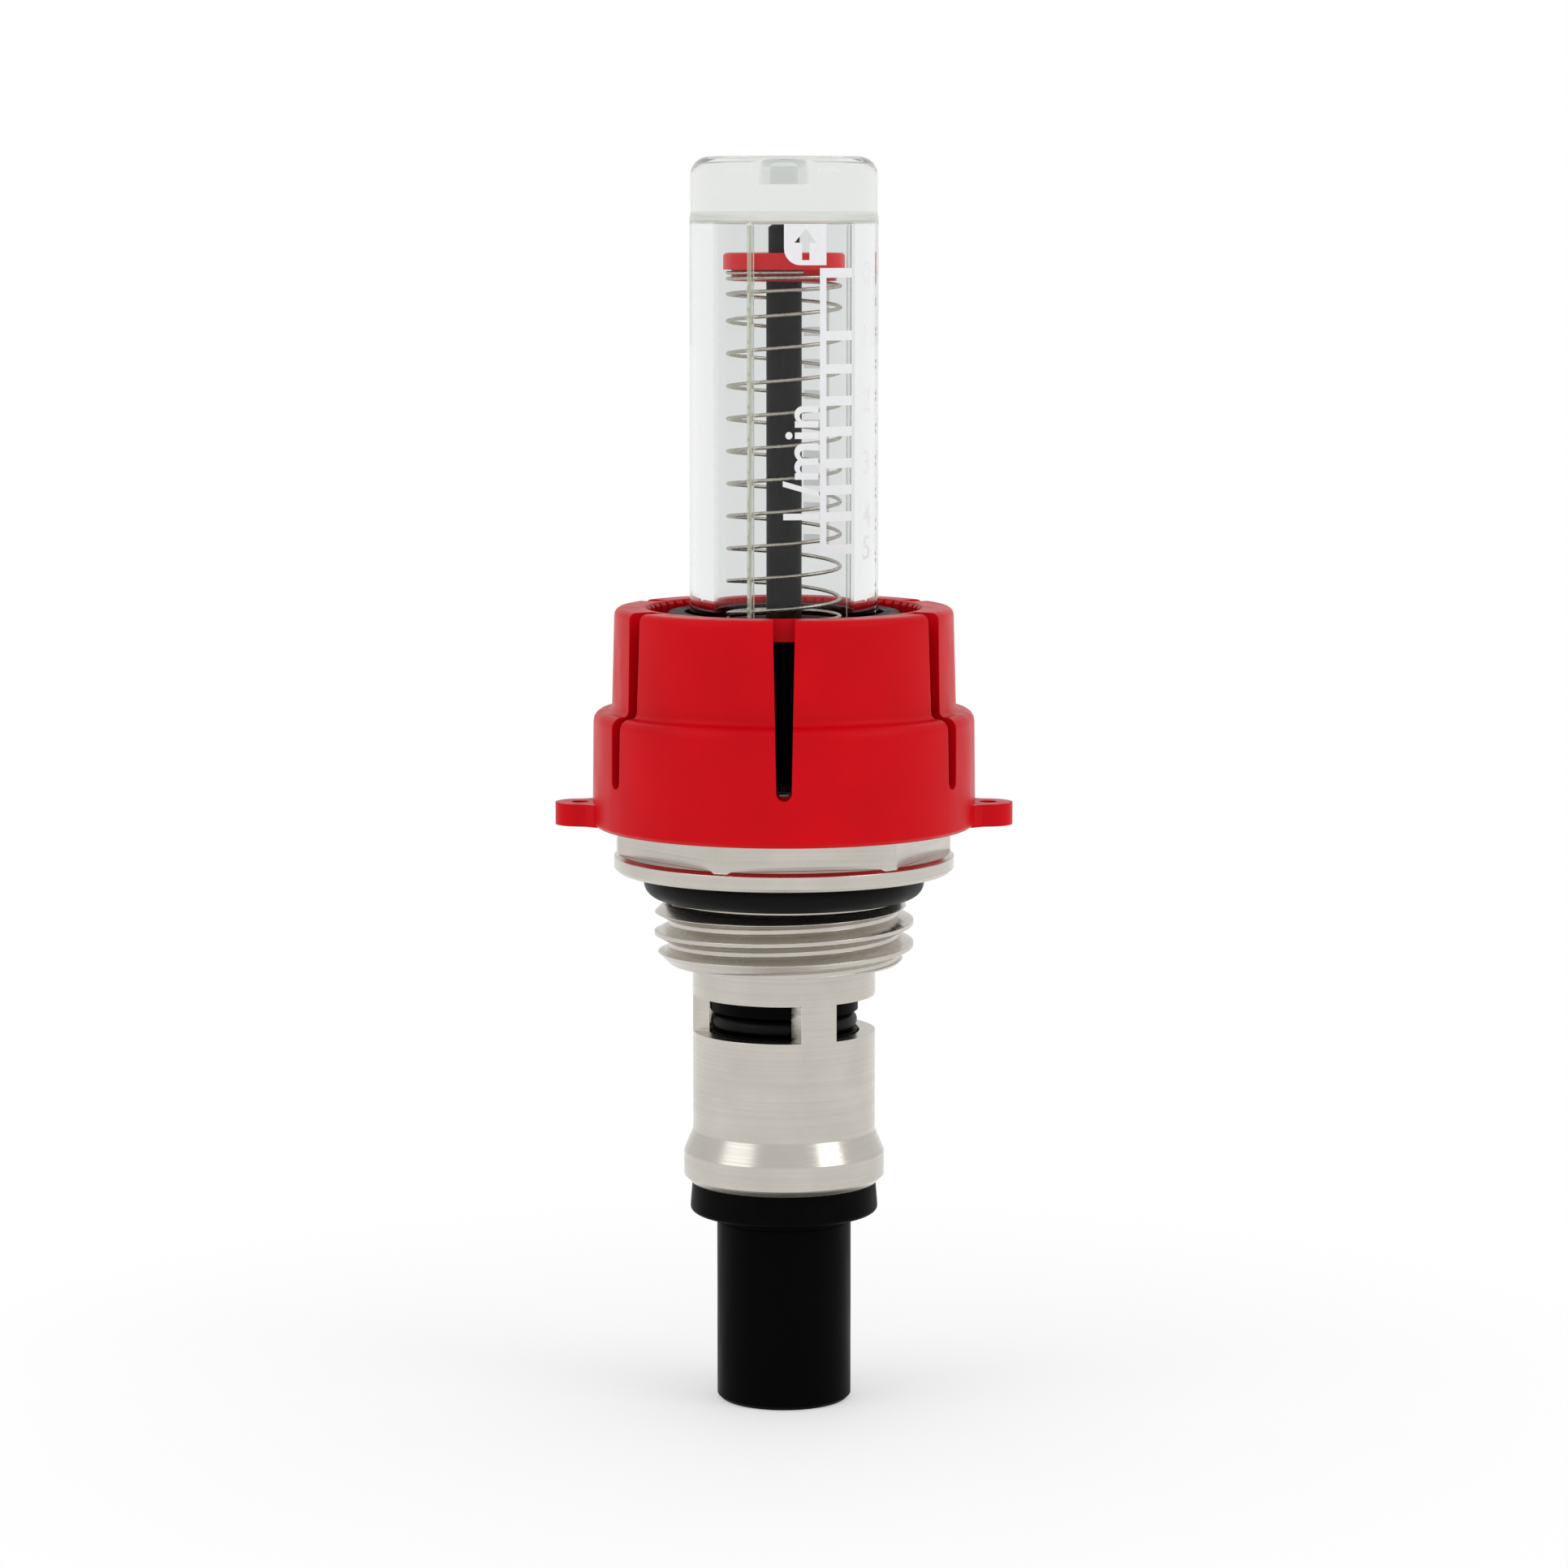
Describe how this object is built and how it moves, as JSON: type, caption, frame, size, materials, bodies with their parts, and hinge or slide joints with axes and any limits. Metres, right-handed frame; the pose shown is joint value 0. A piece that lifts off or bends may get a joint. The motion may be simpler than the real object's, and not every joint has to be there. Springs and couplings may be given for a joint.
{
  "type": "flow meter balancing valve insert",
  "caption": "Manifold valve insert: a turned body with a pipe thread, a throttle piston raised by a handwheel, a sprung flow indicator in a sight glass, and a slotted lock ring.",
  "frame": {"origin": "on the valve's axis, in the flange face that seals on the manifold", "axes": "+Z along the valve's axis, up to the sight glass; +X through one of the lock ring's eyelets; the front is -Y"},
  "size_m": [0.0368, 0.0308, 0.1006],
  "materials": {
    "nickel_plated_brass": "nickel plated, fine turning marks",
    "spring_steel": "drawn wire",
    "black_plastic": "matte, moulded",
    "grey_plastic": "satin, moulded",
    "red_plastic": "satin, moulded",
    "clear_plastic": "clear, moulded",
    "black_rubber": "smooth"
  },
  "bodies": {
    "valve_body": {"valve_body": "nickel_plated_brass", "manifold_o_ring": "black_rubber", "seat_seal": "black_rubber", "flow_tube": "black_plastic", "tube_clip": "spring_steel", "handwheel_circlip": "spring_steel"},
    "lock_ring": {"lock_ring": "red_plastic"},
    "handwheel": {"handwheel": "black_plastic", "handwheel_o_ring": "black_rubber", "sight_glass": "clear_plastic", "glass_o_ring": "black_rubber", "glass_nut": "black_plastic", "spring_seat": "black_plastic", "indicator_spring": "spring_steel"},
    "throttle_piston": {"throttle_piston": "black_plastic", "upper_stem_o_ring": "black_rubber", "throttle_o_ring": "black_rubber", "shutoff_o_ring": "black_rubber", "rod_bush": "grey_plastic"},
    "indicator": {"indicator_rod": "grey_plastic", "indicator_disc": "red_plastic", "baffle_plate": "spring_steel", "baffle_nut": "spring_steel"}
  },
  "joints": [
    {"name": "lock_ring_lift", "type": "slide", "parent": "valve_body", "child": "lock_ring", "axis": [0, 0, 1], "range_m": [0, 0.056]},
    {"name": "adjuster_turn", "type": "hinge", "parent": "valve_body", "child": "handwheel", "pos_m": [0, 0, 0], "axis": [0, 0, 1], "range_deg": [0, 900]},
    {"name": "piston_rise", "type": "slide", "parent": "handwheel", "child": "throttle_piston", "axis": [0, 0, 1], "range_m": [0, 0.00375]},
    {"name": "indicator_travel", "type": "slide", "parent": "handwheel", "child": "indicator", "axis": [0, 0, -1], "range_m": [0, 0.0215], "stiffness_N_per_m": 9.2, "springref_m": -0.004, "deforming": ["indicator_spring"]}
  ],
  "couplings": [
    {"joint": "piston_rise", "follows": "adjuster_turn", "m_per_rad": 0.00023873}
  ]
}
